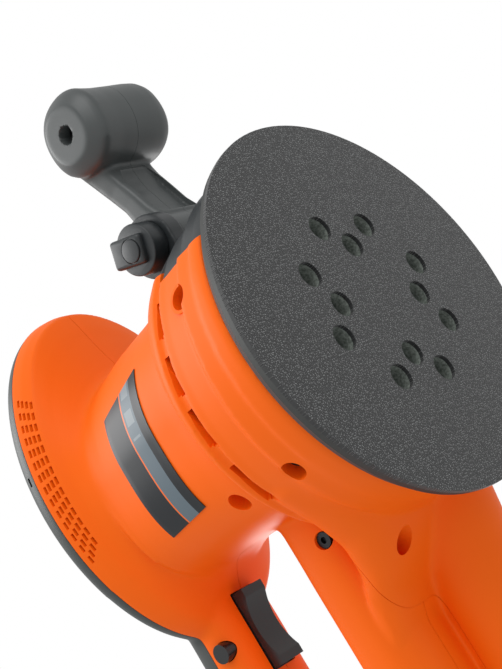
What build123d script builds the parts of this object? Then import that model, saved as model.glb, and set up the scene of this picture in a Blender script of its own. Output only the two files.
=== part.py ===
from build123d import *
import math
import os
from functools import lru_cache

# Orbital sander, 150 mm, upright motor. +Z is up along the spindle, -Y is the front with the
# auxiliary handle, +Y is the rear with the D-handle. The origin is the middle of the pad's face.
# Tool parts are drawn about the spindle's axis and moved by the orbit when they are written.

# pad
PAD_R = 75.0
HOOK_T = 1.6
FOAM_TOP = 8.0
PLATE_TOP = 12.0
OUTER_HOLES, OUTER_PCR, OUTER_TURN = 8, 32.7, 29.0
INNER_HOLES, INNER_PCR, INNER_TURN = 4, 22.4, 6.5
DUST_HOLE_R = 5.0
PAD_SCREW_R = 13.6
ORBIT = 2.25

# drive
SHAFT_R = 5.0
FAN_R = 54.0
LOWER_BEARING_Z = 50.0
UPPER_BEARING_Z = 131.0
CORE_R, CORE_Z0, CORE_Z1 = 24.0, 68.0, 104.0
STATOR_R, STATOR_BORE = 41.0, 24.8

# base shroud
RIM_R = 70.0
RIM_Z = 9.0
STEP_Z = 27.5
RECESS_Z0, RECESS_Z1 = 43.0, 50.0
BASE_TOP = 57.0
WALL = 3.0
DUCT_X, DUCT_Z, DUCT_R, DUCT_END = 28.0, 50.0, 19.0, 142.0

# motor barrel and head
BARREL_TOP = 127.0
EDGE_Z = 140.0
SEAM_Z = 150.0
TOP_Z = 166.0
HEAD_Y = -5.0
SKIN = 2.6

# D-handle
ARM_W, ARM_H = 18.0, 15.5
UPPER_ARM_Z = 149.5
LOWER_ARM_Z = 75.0
LOOP_REAR = 160.0
LOOP_BEND = 32.0

# auxiliary handle
PIVOT_Y, PIVOT_Z = -65.5, 62.0
EYE_R, PIVOT_R = 11.0, 5.0
EYE_HALF = 12.5
CHEEK_R, CHEEK_END = 12.5, 20.3
KNOB_FACE = 31.0
LEVER_TURN = 110.0
GRIP_Y, GRIP_Z, GRIP_HALF, GRIP_R = -122.2, 67.0, 24.5, 17.0
FIT = 0.3


# ---------- shared shapes ----------

def post(radius, z0, z1, x=0.0, y=0.0):
    return Pos(x, y, z0) * Cylinder(radius, z1 - z0, align=(Align.CENTER, Align.CENTER, Align.MIN))


def bar_x(radius, x0, x1, y, z):
    return Pos((x0 + x1) / 2, y, z) * Rot(0, 90, 0) * Cylinder(radius, x1 - x0)


def bar_y(radius, y0, y1, x, z):
    return Pos(x, (y0 + y1) / 2, z) * Rot(90, 0, 0) * Cylinder(radius, y1 - y0)


def block(x0, x1, y0, y1, z0, z1):
    return Pos((x0 + x1) / 2, (y0 + y1) / 2, (z0 + z1) / 2) * Box(x1 - x0, y1 - y0, z1 - z0)


def turned(points):
    return revolve(make_face(Plane.XZ * Polyline(*points, close=True)), Axis.Z)


def ring(radius, bore, z0, z1):
    return post(radius, z0, z1) - post(bore, z0 - 1, z1 + 1)


def around(shape, count, turn=0.0):
    return [Rot(0, 0, turn + 360.0 / count * i) * shape for i in range(count)]


def oval(z, half, front, rear, middle=0.0, n_rear=2.0):
    """A level outline: an ellipse at the front and a squarer superellipse at the rear."""
    points = []
    for i in range(28):
        a = 2 * math.pi * i / 28
        n = n_rear if math.sin(a) > 0 else 2.0
        reach = rear if math.sin(a) > 0 else front
        x = half * math.copysign(abs(math.cos(a)) ** (2 / n), math.cos(a))
        y = middle + reach * math.copysign(abs(math.sin(a)) ** (2 / n), math.sin(a))
        points.append((x, y, z))
    return make_face(Spline(*points, periodic=True))


# ---------- sanding pad ----------

def dust_holes(z0, z1, grow=0.0):
    outer = around(post(DUST_HOLE_R + grow, z0, z1, OUTER_PCR), OUTER_HOLES, OUTER_TURN)
    inner = around(post(DUST_HOLE_R + grow, z0, z1, INNER_PCR), INNER_HOLES, INNER_TURN)
    return outer + inner


def hook_face():
    return post(PAD_R, 0, HOOK_T) - dust_holes(-1, HOOK_T + 1)


def pad_foam():
    side = [(0, HOOK_T), (PAD_R, HOOK_T), (PAD_R - 0.6, 4.2), (PAD_R - 3.5, FOAM_TOP), (0, FOAM_TOP)]
    return turned(side) - dust_holes(HOOK_T - 1, FOAM_TOP + 1)


def pad_plate():
    plate = post(62, FOAM_TOP, PLATE_TOP) + ring(16, 10, PLATE_TOP, PLATE_TOP + 2)
    bolt = post(2.25, FOAM_TOP - 1, PLATE_TOP + 3, PAD_SCREW_R) + post(3.7, FOAM_TOP - 1, FOAM_TOP + 2.4, PAD_SCREW_R)
    return plate - dust_holes(FOAM_TOP - 1, PLATE_TOP + 1) - post(10, FOAM_TOP - 1, PLATE_TOP + 3) - around(bolt, 4)


def pad_hub():
    hub = ring(17, 11.0, PLATE_TOP + 2, PLATE_TOP + 12) + ring(17, 4, PLATE_TOP + 2, PLATE_TOP + 3)
    return hub - around(post(2.2, PLATE_TOP, PLATE_TOP + 9, PAD_SCREW_R), 4)


def pad_screws():
    shank = post(2.2, FOAM_TOP + 2, PLATE_TOP + 8, PAD_SCREW_R)
    head = post(3.6, FOAM_TOP, FOAM_TOP + 2.4, PAD_SCREW_R) - post(1.5, FOAM_TOP - 1, FOAM_TOP + 1.4, PAD_SCREW_R)
    return Compound(around(shank + head, 4))


# ---------- drive train ----------

def bearing_outer(radius, z0, z1):
    return ring(radius, radius - 2.6, z0, z1)


def bearing_inner(bore, z0, z1):
    return ring(bore + 2.4, bore, z0, z1)


def balls(radius, size, z, count):
    return Compound(around(Pos(radius, 0, z) * Sphere(size), count))


def pad_bearing_outer():
    return bearing_outer(11.0, 16, 24)


def pad_bearing_inner():
    return bearing_inner(4.0, 16, 24)


def pad_bearing_balls():
    return balls(7.4, 0.9, 20, 9)


def eccentric():
    pin = post(4.0, 16, 26, 0, ORBIT)
    flange = ring(15, SHAFT_R, 26, 32) + post(15, 26, 27)
    weight = ring(24, 15, 26, 34) & block(-30, 30, -30, -4, 20, 40)
    return pin + flange + weight


def fan():
    disc = ring(FAN_R, 9, 37, 39)
    hub = ring(10, SHAFT_R, 37, 42)
    blade = block(24, FAN_R, -0.8, 0.8, 31, 37.2)
    return disc + hub + around(blade, 12)


def spindle():
    return post(SHAFT_R, 27, 140)


def lower_bearing_inner():
    return bearing_inner(SHAFT_R, LOWER_BEARING_Z - 4, LOWER_BEARING_Z + 4)


def lower_bearing_outer():
    return bearing_outer(13, LOWER_BEARING_Z - 4, LOWER_BEARING_Z + 4)


def lower_bearing_balls():
    return balls(8.9, 1.4, LOWER_BEARING_Z, 8)


def upper_bearing_inner():
    return bearing_inner(SHAFT_R, UPPER_BEARING_Z - 3.5, UPPER_BEARING_Z + 3.5)


def upper_bearing_outer():
    return bearing_outer(12, UPPER_BEARING_Z - 3.5, UPPER_BEARING_Z + 3.5)


def upper_bearing_balls():
    return balls(8.4, 0.9, UPPER_BEARING_Z, 8)


def armature_core():
    slot = post(1.6, CORE_Z0 - 1, CORE_Z1 + 1, CORE_R - 2.4) + block(CORE_R - 2.4, CORE_R + 1, -0.7, 0.7,
                                                                  CORE_Z0 - 1, CORE_Z1 + 1)
    return ring(CORE_R, SHAFT_R, CORE_Z0, CORE_Z1) - around(slot, 12)


def armature_windings():
    lower = turned([(8, CORE_Z0 - 9), (17, CORE_Z0 - 9), (21, CORE_Z0 - 4), (21, CORE_Z0), (8, CORE_Z0)])
    upper = turned([(8, CORE_Z1), (21, CORE_Z1), (21, CORE_Z1 + 3), (16, CORE_Z1 + 8), (8, CORE_Z1 + 8)])
    return Compound([lower, upper])


def commutator():
    bars = ring(12, SHAFT_R, CORE_Z1 + 9, UPPER_BEARING_Z - 6)
    gap = block(10.5, 13, -0.25, 0.25, CORE_Z1 + 8, UPPER_BEARING_Z - 5)
    return bars - around(gap, 24)


# ---------- motor, fixed ----------

def stator_core():
    body = ring(STATOR_R, STATOR_BORE, CORE_Z0 - 2, CORE_Z1 + 2)
    window = block(-60, 60, 10, 33, CORE_Z0 - 3, CORE_Z1 + 3) & ring(33, 28.5, CORE_Z0 - 3, CORE_Z1 + 3)
    return body - window - Rot(0, 0, 180) * window


def field_coils():
    arc = ring(32.5, 29, CORE_Z0 - 9, CORE_Z1 + 9) & block(-27, 27, 12, 40, 50, 120)
    return Compound([arc, Rot(0, 0, 180) * arc])


def brush_holders():
    box = block(12.6, 36, -4.5, 4.5, 113.5, 123) - block(12, 37, -3.1, 3.1, 115, 121.5)
    return Compound([box, Rot(0, 0, 180) * box])


def carbon_brushes():
    brush = block(12.3, 25, -3.0, 3.0, 115.1, 121.4)
    return Compound([brush, Rot(0, 0, 180) * brush])


def brush_springs():
    coil = bar_x(2.4, 25, 34, 0, 118.2) - bar_x(1.5, 24, 35, 0, 118.2)
    cap = bar_x(3.0, 34, 36, 0, 118.2)
    spring = coil + cap
    return Compound([spring, Rot(0, 0, 180) * spring])


def bearing_plate():
    plate = turned([(9, 54), (13, 54), (13, 46), (17, 46), (17, 51), (49.5, 54), (49.5, 57), (9, 57)])
    return plate - around(post(5, 50, 60, 36), 6, 30)


def upper_bearing_seat():
    seat = ring(15, 12, UPPER_BEARING_Z - 4, UPPER_BEARING_Z + 3.5) \
        + ring(15, 7.6, UPPER_BEARING_Z + 3.5, UPPER_BEARING_Z + 5)
    arm = block(14, 41, -3, 3, UPPER_BEARING_Z - 2, UPPER_BEARING_Z + 4)
    return seat + around(arm, 4, 45)


# ---------- base shroud ----------

def shroud_profile():
    return [(RIM_R - 3.6, RIM_Z + 2.6), (RIM_R, RIM_Z), (RIM_R + 0.6, RIM_Z + 4), (RIM_R, STEP_Z),
            (RIM_R - 2.2, STEP_Z + 1.6), (RIM_R - 4.5, RECESS_Z0), (RIM_R - 7, RECESS_Z0 + 0.8),
            (RIM_R - 8, RECESS_Z1), (RIM_R - 7.2, RECESS_Z1 + 1), (RIM_R - 10.5, BASE_TOP),
            (50, BASE_TOP), (50, BASE_TOP - 2.5), (RIM_R - 13, BASE_TOP - 3.2),
            (RIM_R - 11.2, RECESS_Z1), (RIM_R - 10, RECESS_Z0 - 2), (RIM_R - 7, RECESS_Z0 - 4),
            (RIM_R - 3.4, STEP_Z)]


DUCT_ROWS = [(24, 22, 46.5, 22), (50, 27, 47.5, 23.5), (72, DUCT_X, 48.8, 21.8), (94, DUCT_X, 49.7, 19.6)]


def duct_outer(grow=0.0):
    """The volute's outlet: a pipe that swells out of the shroud beside the D-handle's lower arm."""
    rows = DUCT_ROWS + [(112, DUCT_X, DUCT_Z, DUCT_R)]
    swell = loft([Plane(origin=(x, y, z), x_dir=(1, 0, 0), z_dir=(0, 1, 0)) * Circle(r + grow) for y, x, z, r in rows])
    pipe = bar_y(DUCT_R + grow, 112, DUCT_END, DUCT_X, DUCT_Z)
    return swell + pipe - stack(BARREL, grow)


def duct_bore():
    return bar_y(DUCT_R - WALL, 42, DUCT_END + 1, DUCT_X, DUCT_Z) & block(0, 80, 30, DUCT_END + 1, 30.5, 80)


def side_hole(angle, radius, z):
    return Rot(0, 0, angle) * (bar_x(3.6, radius - 8, radius + 12, 0, z) + bar_x(1.6, radius - 15, radius, 0, z))


SLOT_ANGLES = (208, 189, 172, 150, 332, 351, 8, 250, 290)
HOLES = [(207, RIM_R, 24), (146, RIM_R, 26), (333, RIM_R, 24), (28, RIM_R, 26)]


def shroud_core():
    return turned([(0, RIM_Z), (RIM_R - 3.6, RIM_Z), (RIM_R - 3.4, STEP_Z), (RIM_R - 7, RECESS_Z0 - 4),
                   (RIM_R - 10, RECESS_Z0 - 2), (RIM_R - 11.2, RECESS_Z1), (RIM_R - 13, BASE_TOP - 3.2),
                   (50, BASE_TOP - 2.5), (50, BASE_TOP), (0, BASE_TOP)])


ROOT_ROWS = [(30, 54, 27, 60), (44, 48, 27, 60), (56, 37, 28.5, 61), (68, 26.5, 33, 63), (80, 20.5, 43, 66),
             (92, 17.6, 54, 70)]


def arm_root(inset=0.0):
    """The fairing that carries the D-handle's lower arm down onto the shroud."""
    faces = []
    for y, half, z0, z1 in ROOT_ROWS:
        width, height = 2 * (half - inset), z1 - z0 - 2 * inset
        plane = Plane(origin=(0, y, (z0 + z1) / 2), x_dir=(1, 0, 0), z_dir=(0, 1, 0))
        faces.append(plane * RectangleRounded(width, height, height * 0.42))
    return loft(faces)


def base_shroud():
    slot = block(54, 75, -7.0, 7.0, RECESS_Z0 + 1.2, RECESS_Z1 - 0.6)
    bosses = [Rot(0, 0, a) * bar_x(5.4, r - 9, r - 2.5, 0, z) for a, r, z in HOLES]
    root = (arm_root() - (arm_root(3.0) & block(-60, 60, 20, 78, 20, 80))) & block(-80, 80, 0, 120, 0, BASE_TOP)
    body = turned(shroud_profile()) + (duct_outer() + root - shroud_core())
    body = body - duct_bore() - [Rot(0, 0, a) * slot for a in SLOT_ANGLES]
    body = body + bosses - [side_hole(a, r, z) for a, r, z in HOLES]
    lining = (bar_x(EYE_R + 3.8, -EYE_HALF - 3, EYE_HALF + 3, PIVOT_Y, PIVOT_Z) & shroud_core()) \
        - post(50, 0, 80)
    return body + lining - bar_x(EYE_R + 0.9, -EYE_HALF - FIT, EYE_HALF + FIT, PIVOT_Y, PIVOT_Z)


def base_screws():
    screw = bar_x(3.1, -2.5, 0, 0, 0) + bar_x(1.6, -9, -2.5, 0, 0) - bar_x(1.3, -1.3, 1, 0, 0)
    return Compound([Rot(0, 0, a) * Pos(r - 5.5, 0, z) * screw for a, r, z in HOLES])


def dust_skirt():
    return ring(RIM_R - 3.8, RIM_R - 6.4, RIM_Z + 3, RIM_Z + 8.5)


def dust_adapter():
    sleeve = bar_y(DUCT_R - WALL - 0.05, DUCT_END - 14, DUCT_END + 2, DUCT_X, DUCT_Z)
    flange = bar_y(DUCT_R, DUCT_END + FIT, DUCT_END + 5, DUCT_X, DUCT_Z)
    neck = bar_y(17.5, DUCT_END + 4, DUCT_END + 36, DUCT_X, DUCT_Z)
    lip = bar_y(18.3, DUCT_END + 31, DUCT_END + 36, DUCT_X, DUCT_Z)
    return sleeve + flange + neck + lip - bar_y(13.6, DUCT_END - 20, DUCT_END + 40, DUCT_X, DUCT_Z)


# ---------- housing ----------

BARREL = [(BASE_TOP, 52, 52, 52, 0), (70, 50.5, 50.5, 50, 0), (84, 49.5, 48.5, 48, 0),
          (106, 48, 46.5, 46.5, 0), (119, 45.5, 44.5, 46, 0), (BARREL_TOP, 44, 43.5, 47, 0)]
FLARE = [(BARREL_TOP, 44, 43.5, 47, 0), (131, 44.6, 50, 52, -1), (136, 46.2, 62, 62, -3),
         (EDGE_Z, 48.5, 73.5, 72, HEAD_Y)]
BAND = [(EDGE_Z, 48.5, 73.5, 72, HEAD_Y), (145, 51.2, 76, 74.5, HEAD_Y), (SEAM_Z, 53, 77.5, 76, HEAD_Y)]
CROWN = [(SEAM_Z, 53, 77.5, 76, HEAD_Y), (155, 52, 76, 74.5, HEAD_Y), (160, 48, 70.5, 69, HEAD_Y),
         (164, 39, 59, 58, HEAD_Y), (TOP_Z, 26, 44, 44, HEAD_Y)]


def stack(rows, inset=0.0):
    squarer = {row[0]: (3.0 if row[0] < EDGE_Z else 2.0) for row in rows}
    faces = [oval(z, w - inset, f - inset, r - inset, m, squarer[z]) for z, w, f, r, m in rows]
    return loft(faces)


def loop(inset=0.0):
    """The D-handle as one swept bar, from the head back, down and forward into the barrel."""
    turn_y = LOOP_REAR - LOOP_BEND
    s = LOOP_BEND * math.sin(math.pi / 4)
    top_mid = (0, turn_y + s, UPPER_ARM_Z - LOOP_BEND + s)
    low_mid = (0, turn_y + s, LOWER_ARM_Z + LOOP_BEND - s)
    path = Line((0, 30, UPPER_ARM_Z), (0, turn_y, UPPER_ARM_Z)) \
        + ThreePointArc((0, turn_y, UPPER_ARM_Z), top_mid, (0, LOOP_REAR, UPPER_ARM_Z - LOOP_BEND)) \
        + Line((0, LOOP_REAR, UPPER_ARM_Z - LOOP_BEND), (0, LOOP_REAR, LOWER_ARM_Z + LOOP_BEND)) \
        + ThreePointArc((0, LOOP_REAR, LOWER_ARM_Z + LOOP_BEND), low_mid, (0, turn_y, LOWER_ARM_Z)) \
        + Line((0, turn_y, LOWER_ARM_Z), (0, 30, LOWER_ARM_Z))
    w, h = ARM_W - inset, ARM_H - inset
    section = Plane.XZ * RectangleRounded(2 * w, 2 * h, h * 0.8)
    return sweep(Pos(0, 30, UPPER_ARM_Z) * section, path=path)


LOCK_Y, LOCK_Z = 76.0, 142.5
INLET_Z = LOWER_ARM_Z + 20
CLAM_HOLES = [(61.5, 68.0), (118.0, 70.0), (150.0, 112.0), (135.0, 143.0)]
SCREW_SEAT = -14.0
DIAL_Y, DIAL_R = 104.0, 11.0
DIAL_Z = UPPER_ARM_Z + ARM_H + 1.2 - DIAL_R


def housing_outer():
    root = arm_root() & block(-40, 40, 45, 120, BASE_TOP + 0.1, 90)
    return stack(BARREL) + stack(FLARE) + stack(BAND) + loop() + root


def housing_core():
    inner = [stack(rows, SKIN) for rows in (BARREL, FLARE, BAND)]
    return inner[0] + inner[1] + inner[2] + loop(SKIN)


def trigger_slot(grow=0.0):
    return block(-6.5 - grow, 6.5 + grow, 58 - grow, 92 + grow, UPPER_ARM_Z - ARM_H - 8, UPPER_ARM_Z - 8)


def vents():
    cuts = []
    for row in range(3):
        for i in range(7):
            cuts.append(Pos(0, -22 + 7 * i + 2 * row, EDGE_Z + 2.6 + 2.8 * row) * Box(130, 4, 1.3))
    return cuts


@lru_cache
def housing():
    body = housing_outer() & block(-80, 80, -100, 200, BASE_TOP, SEAM_Z)
    ribs = (ring(60, STATOR_R, 70, 73) + ring(60, STATOR_R, 98, 101)) & stack(BARREL, 1.0)
    body = body - housing_core()
    body = body + ribs
    body = body - trigger_slot(FIT) - vents() - duct_outer(0.1)
    body = body - bar_x(4.3, -30, 0, LOCK_Y, LOCK_Z) - bar_y(9.0, 150, 190, 0, INLET_Z)
    posts = [bar_x(5.2, -ARM_W + 1, ARM_W - 1, y, z) - duct_outer(FIT) for y, z in CLAM_HOLES]
    bores = [bar_x(3.4, -40, SCREW_SEAT, y, z) + bar_x(1.7, -40, 12, y, z) for y, z in CLAM_HOLES]
    return body + posts - bores


def left_housing():
    return housing() & block(-100, 0, -120, 220, 0, 200)


def right_housing():
    return housing() & block(0, 100, -120, 220, 0, 200)


def housing_screws():
    parts = []
    for y, z in CLAM_HOLES:
        head = bar_x(3.1, SCREW_SEAT - 2.5, SCREW_SEAT, y, z) - bar_x(1.3, -ARM_W, SCREW_SEAT - 1.2, y, z)
        parts.append(head + bar_x(1.6, SCREW_SEAT, 11, y, z))
    return Compound(parts)


def top_cap():
    upper = block(-40, 40, 30, 200, SEAM_Z, 200)
    shell = stack(CROWN) + (loop() & upper)
    hollow = Pos(0, 0, -SKIN) * stack(CROWN, SKIN) + (loop(SKIN) & block(-40, 40, 25, 200, SEAM_Z - 1, 200))
    return shell - hollow - block(-4.3, 4.3, DIAL_Y - 10.6, DIAL_Y + 10.6, 150, 180)


def speed_dial():
    wheel = bar_x(DIAL_R, -3.6, 3.6, DIAL_Y, DIAL_Z)
    knurl = [Pos(0, DIAL_Y, DIAL_Z) * Rot(a * 15, 0, 0) * block(-5, 5, DIAL_R - 0.6, DIAL_R + 1, -0.5, 0.5)
             for a in range(24)]
    return wheel - knurl - bar_x(1.55, -5, 5, DIAL_Y, DIAL_Z)


def dial_bracket():
    floor = UPPER_ARM_Z - ARM_H + SKIN
    cheek = block(4.4, 7, DIAL_Y - 4, DIAL_Y + 4, floor + 1, DIAL_Z + 3)
    foot = block(-4.9, 4.9, DIAL_Y - 12, DIAL_Y + 5, floor, floor + 1.5)
    return bar_x(1.5, -6.9, 6.9, DIAL_Y, DIAL_Z) + cheek + Pos(-11.4, 0, 0) * cheek + foot


def trigger():
    pad = block(-6.2, 6.2, 58.3, 91.7, UPPER_ARM_Z - ARM_H - 6, UPPER_ARM_Z - 9.5)
    curve = bar_x(26, -8, 8, 75, UPPER_ARM_Z - ARM_H - 28.5)
    stem = block(-3, 3, 70, 80, UPPER_ARM_Z - 9.6, UPPER_ARM_Z - 2.4)
    return pad - curve + stem


def switch_body():
    return block(-9, 9, 58, 92, UPPER_ARM_Z - 2.0, UPPER_ARM_Z + 9) \
        - block(-3.3, 3.3, 69, 81, UPPER_ARM_Z - 3, UPPER_ARM_Z + 1)


def lock_button():
    return bar_x(4.0, -ARM_W - 1.8, -10.0, LOCK_Y, LOCK_Z)


def control_board():
    board = block(-11, 11, 111, 128, 141, 142.6)
    chip = block(-8, 8, 117, 127, 142.6, 147)
    return board + chip


def cord_inlet():
    collar = bar_y(8.9, LOOP_REAR + ARM_H - 6, LOOP_REAR + ARM_H + 1, 0, INLET_Z) \
        + bar_y(10.5, LOOP_REAR + ARM_H + 0.6, LOOP_REAR + ARM_H + 4, 0, INLET_Z)
    return collar - bar_y(4.2, 150, 190, 0, INLET_Z)


def label_plate():
    skin = stack(BARREL, -0.35) - stack(BARREL, -0.05)
    return skin & block(-60, -20, -20, 34, 80, 108)


# ---------- auxiliary handle ----------

def prism_x(points, half):
    """A side outline of (y, z) points as a plate centred on x = 0."""
    return extrude(make_face(Plane.YZ * Polyline(*points, close=True)), half, both=True)


def handle_body():
    grip = bar_x(GRIP_R, -GRIP_HALF + 7, GRIP_HALF - 7, GRIP_Y, GRIP_Z)
    for side in (-1, 1):
        grip += Pos(side * (GRIP_HALF - 7), GRIP_Y, GRIP_Z) * scale(Sphere(GRIP_R), by=(7 / GRIP_R, 1, 1))
    eye = bar_x(EYE_R, -EYE_HALF, EYE_HALF, PIVOT_Y, PIVOT_Z)
    side = [(GRIP_Y, 66), (-94, 65.7), (-76.5, 56.5), (PIVOT_Y, PIVOT_Z - 9), (PIVOT_Y, PIVOT_Z + 9),
            (-81, 71), (-106, 80), (GRIP_Y, 80)]
    under = [(-106, 60), (-106, 70.5), (-94, 68.2), (-81, 62.5), (-81, 50)]
    over = [(-104, 90), (-104, 76.5), (-84, 69.2), (-84, 90)]
    body = grip + eye + prism_x(side, 12.5) - prism_x(under, 10) - prism_x(over, 10)
    body = body - bar_x(PIVOT_R + 0.05, -40, 40, PIVOT_Y, PIVOT_Z)
    body = body - bar_x(3.6, -GRIP_HALF - 2, -14, GRIP_Y, GRIP_Z) - bar_x(1.7, -15, 16, GRIP_Y, GRIP_Z)
    return body


def handle_left():
    return handle_body() & block(-60, 0, -160, -20, 0, 120)


def handle_right():
    return handle_body() & block(0, 60, -160, -20, 0, 120)


def handle_screw():
    return bar_x(3.1, -17.2, -14, GRIP_Y, GRIP_Z) - bar_x(1.4, -18, -15.6, GRIP_Y, GRIP_Z) \
        + bar_x(1.7, -14, 14, GRIP_Y, GRIP_Z)


def handle_bracket():
    """Two black cheeks on the front of the shroud, one each side of the handle's eye."""
    bore = bar_x(PIVOT_R + 0.05, -40, 40, PIVOT_Y, PIVOT_Z)
    shroud = turned([(0, RIM_Z)] + shroud_profile()[1:11] + [(0, BASE_TOP)])
    cheeks = []
    for side in (-1, 1):
        x0, x1 = sorted((side * (EYE_HALF + FIT), side * CHEEK_END))
        lug = bar_x(CHEEK_R, x0, x1, PIVOT_Y, PIVOT_Z)
        foot = block(x0, x1, PIVOT_Y, PIVOT_Y + 18, PIVOT_Z - 16, PIVOT_Z + 8)
        cheeks.append(lug + foot - shroud - stack(BARREL) - bore)
    return Compound(cheeks)


def pivot_bolt():
    shank = bar_x(PIVOT_R, -KNOB_FACE + 1.5, CHEEK_END, PIVOT_Y, PIVOT_Z)
    return shank + bar_x(8.5, CHEEK_END, CHEEK_END + 4, PIVOT_Y, PIVOT_Z)


def clamp_knob():
    """A round boss with a flat lever across it, which points up when the handle is clamped."""
    boss = bar_x(10, -KNOB_FACE + 2.5, -CHEEK_END - FIT, PIVOT_Y, PIVOT_Z)
    slab = extrude(Plane.YZ * Pos(2.5, 0) * RectangleRounded(16.2, 11.8, 3.5), 2.9, both=True)
    lever = Pos(-KNOB_FACE + 3.2, PIVOT_Y, PIVOT_Z) * Rot(LEVER_TURN, 0, 0) * slab
    return boss + lever - bar_x(PIVOT_R + 0.05, -KNOB_FACE + 1.4, 0, PIVOT_Y, PIVOT_Z)


PAD_PARTS = [
    hook_face, pad_foam, pad_plate, pad_hub, pad_screws,
    pad_bearing_outer, pad_bearing_inner, pad_bearing_balls,
]
TOOL_PARTS = [
    eccentric, fan, spindle,
    lower_bearing_inner, lower_bearing_outer, lower_bearing_balls,
    upper_bearing_inner, upper_bearing_outer, upper_bearing_balls,
    armature_core, armature_windings, commutator, stator_core, field_coils,
    brush_holders, carbon_brushes, brush_springs, bearing_plate, upper_bearing_seat,
    base_shroud, base_screws, dust_skirt, dust_adapter,
    left_housing, right_housing, housing_screws, top_cap, speed_dial, dial_bracket,
    trigger, switch_body, lock_button, control_board, cord_inlet, label_plate,
    handle_left, handle_right, handle_screw, handle_bracket, pivot_bolt, clamp_knob,
]

os.makedirs("parts", exist_ok=True)
for make in PAD_PARTS:
    export_step(make(), f"parts/{make.__name__}.step")
for make in TOOL_PARTS:
    export_step(Pos(0, -ORBIT, 0) * make(), f"parts/{make.__name__}.step")
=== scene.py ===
import math

import bmesh
import bpy
from mathutils import Matrix, Vector


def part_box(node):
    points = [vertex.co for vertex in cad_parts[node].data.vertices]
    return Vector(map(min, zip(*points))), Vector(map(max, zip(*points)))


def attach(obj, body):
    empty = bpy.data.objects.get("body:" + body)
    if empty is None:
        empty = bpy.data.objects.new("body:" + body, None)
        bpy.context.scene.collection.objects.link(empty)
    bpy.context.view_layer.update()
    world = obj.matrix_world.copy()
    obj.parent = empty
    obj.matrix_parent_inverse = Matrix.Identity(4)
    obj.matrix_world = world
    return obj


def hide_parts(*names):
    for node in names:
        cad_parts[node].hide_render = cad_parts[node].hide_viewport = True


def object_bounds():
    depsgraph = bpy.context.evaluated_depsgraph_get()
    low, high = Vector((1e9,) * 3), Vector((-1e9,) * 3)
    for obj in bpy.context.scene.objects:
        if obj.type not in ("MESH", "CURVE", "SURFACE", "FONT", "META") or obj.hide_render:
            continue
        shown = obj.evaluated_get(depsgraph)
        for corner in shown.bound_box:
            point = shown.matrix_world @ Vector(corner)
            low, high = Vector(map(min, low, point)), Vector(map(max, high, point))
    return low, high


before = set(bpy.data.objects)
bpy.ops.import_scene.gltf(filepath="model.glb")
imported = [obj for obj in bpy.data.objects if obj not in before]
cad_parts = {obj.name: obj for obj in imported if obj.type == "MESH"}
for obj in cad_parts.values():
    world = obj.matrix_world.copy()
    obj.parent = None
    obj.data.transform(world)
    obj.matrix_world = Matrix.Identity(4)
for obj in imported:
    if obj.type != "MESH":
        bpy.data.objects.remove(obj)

# Camera, floor and light.
# The sander is seen from low on its left side, under the pad, so the floor has one face only: from
# below it lets the view and the light through, and from above it is a plain pale bench.
LOW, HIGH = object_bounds()
MM = 0.001
AXIS = (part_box("spindle")[0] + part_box("spindle")[1]) / 2

scene = bpy.context.scene


def linear(code, alpha=1.0):
    """The linear colour of an sRGB hex value."""
    parts = [int(code[i:i + 2], 16) / 255 for i in (1, 3, 5)]
    return [p / 12.92 if p <= 0.04045 else ((p + 0.055) / 1.055) ** 2.4 for p in parts] + [alpha]


def add(tree, kind, values=None, links=None, **settings):
    """One shader node with its settings, socket values and incoming links."""
    made = tree.nodes.new(kind)
    for key, value in settings.items():
        setattr(made, key, value)
    for key, value in (values or {}).items():
        made.inputs[key].default_value = value
    for key, source in (links or {}).items():
        tree.links.new(source, made.inputs[key])
    return made


def blank(name):
    """A new material with an empty node tree and its output."""
    material = bpy.data.materials.new(name)
    material.use_nodes = True
    tree = material.node_tree
    tree.nodes.clear()
    return material, tree, tree.nodes.new("ShaderNodeOutputMaterial")


right = Vector((0.623, 0.517, -0.587))
up = Vector((0.203, -0.832, -0.517))
ahead = right.cross(up) * -1
camera = bpy.data.objects.new("camera", bpy.data.cameras.new("camera"))
scene.collection.objects.link(camera)
camera.matrix_world = Matrix((right, up, -ahead)).transposed().to_4x4()
camera.location = Vector((-392.0, 83.8, -263.9)) * MM
camera.data.lens = 73.3
camera.data.sensor_width = 36.0
camera.data.clip_start = 0.01
scene.camera = camera
scene.view_settings.view_transform = "Standard"

bm = bmesh.new()
bmesh.ops.create_grid(bm, x_segments=1, y_segments=1, size=3.0)
bmesh.ops.translate(bm, verts=bm.verts, vec=(0, 0, LOW.z - 0.0002))
floor = bpy.data.objects.new("floor", bpy.data.meshes.new("floor"))
bm.to_mesh(floor.data)
bm.free()
scene.collection.objects.link(floor)

paint, tree, out = blank("matt bench paint")
skin = add(tree, "ShaderNodeBsdfPrincipled", {"Base Color": linear("#E9E9E7"), "Roughness": 0.7})
clear = add(tree, "ShaderNodeBsdfTransparent")
side = add(tree, "ShaderNodeNewGeometry")
sight = add(tree, "ShaderNodeLightPath")
above = add(tree, "ShaderNodeMath", {0: 1.0}, {1: side.outputs["Backfacing"]}, operation="SUBTRACT")
shown = add(tree, "ShaderNodeMath", links={0: above.outputs[0], 1: sight.outputs["Is Camera Ray"]},
            operation="MULTIPLY")
seen = add(tree, "ShaderNodeMixShader",
           links={"Fac": shown.outputs[0], 1: clear.outputs[0], 2: skin.outputs[0]})
tree.links.new(seen.outputs[0], out.inputs["Surface"])
floor.data.materials.append(paint)

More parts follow.
